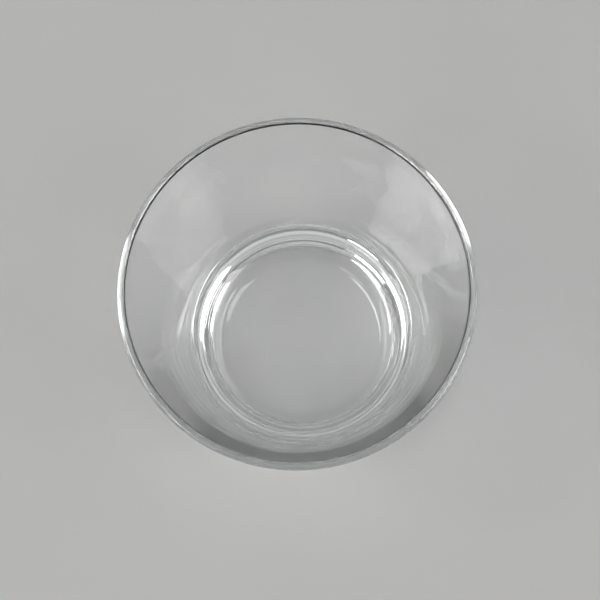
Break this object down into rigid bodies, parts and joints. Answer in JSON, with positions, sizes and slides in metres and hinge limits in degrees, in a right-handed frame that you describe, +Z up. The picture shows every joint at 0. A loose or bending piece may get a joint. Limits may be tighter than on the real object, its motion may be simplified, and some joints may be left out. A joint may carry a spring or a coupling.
{
  "type": "rocks glass",
  "caption": "Low round tumbler for short drinks, with a clear tapered wall, a thick base hollowed by a shallow punt and a rounded lip.",
  "frame": {"origin": "centre of the bearing ring, on the plane of the table that the glass stands on", "axes": "+Z up along the axis of the glass, from the base to the mouth; X and Y are interchangeable on a round glass"},
  "size_m": [0.086, 0.086, 0.0815],
  "materials": {
    "clear_glass": "clear colourless soda-lime glass, smooth from the mould and fire-polished at the lip"
  },
  "bodies": {
    "root": {"base": "clear_glass", "wall": "clear_glass", "rim": "clear_glass"}
  },
  "joints": []
}
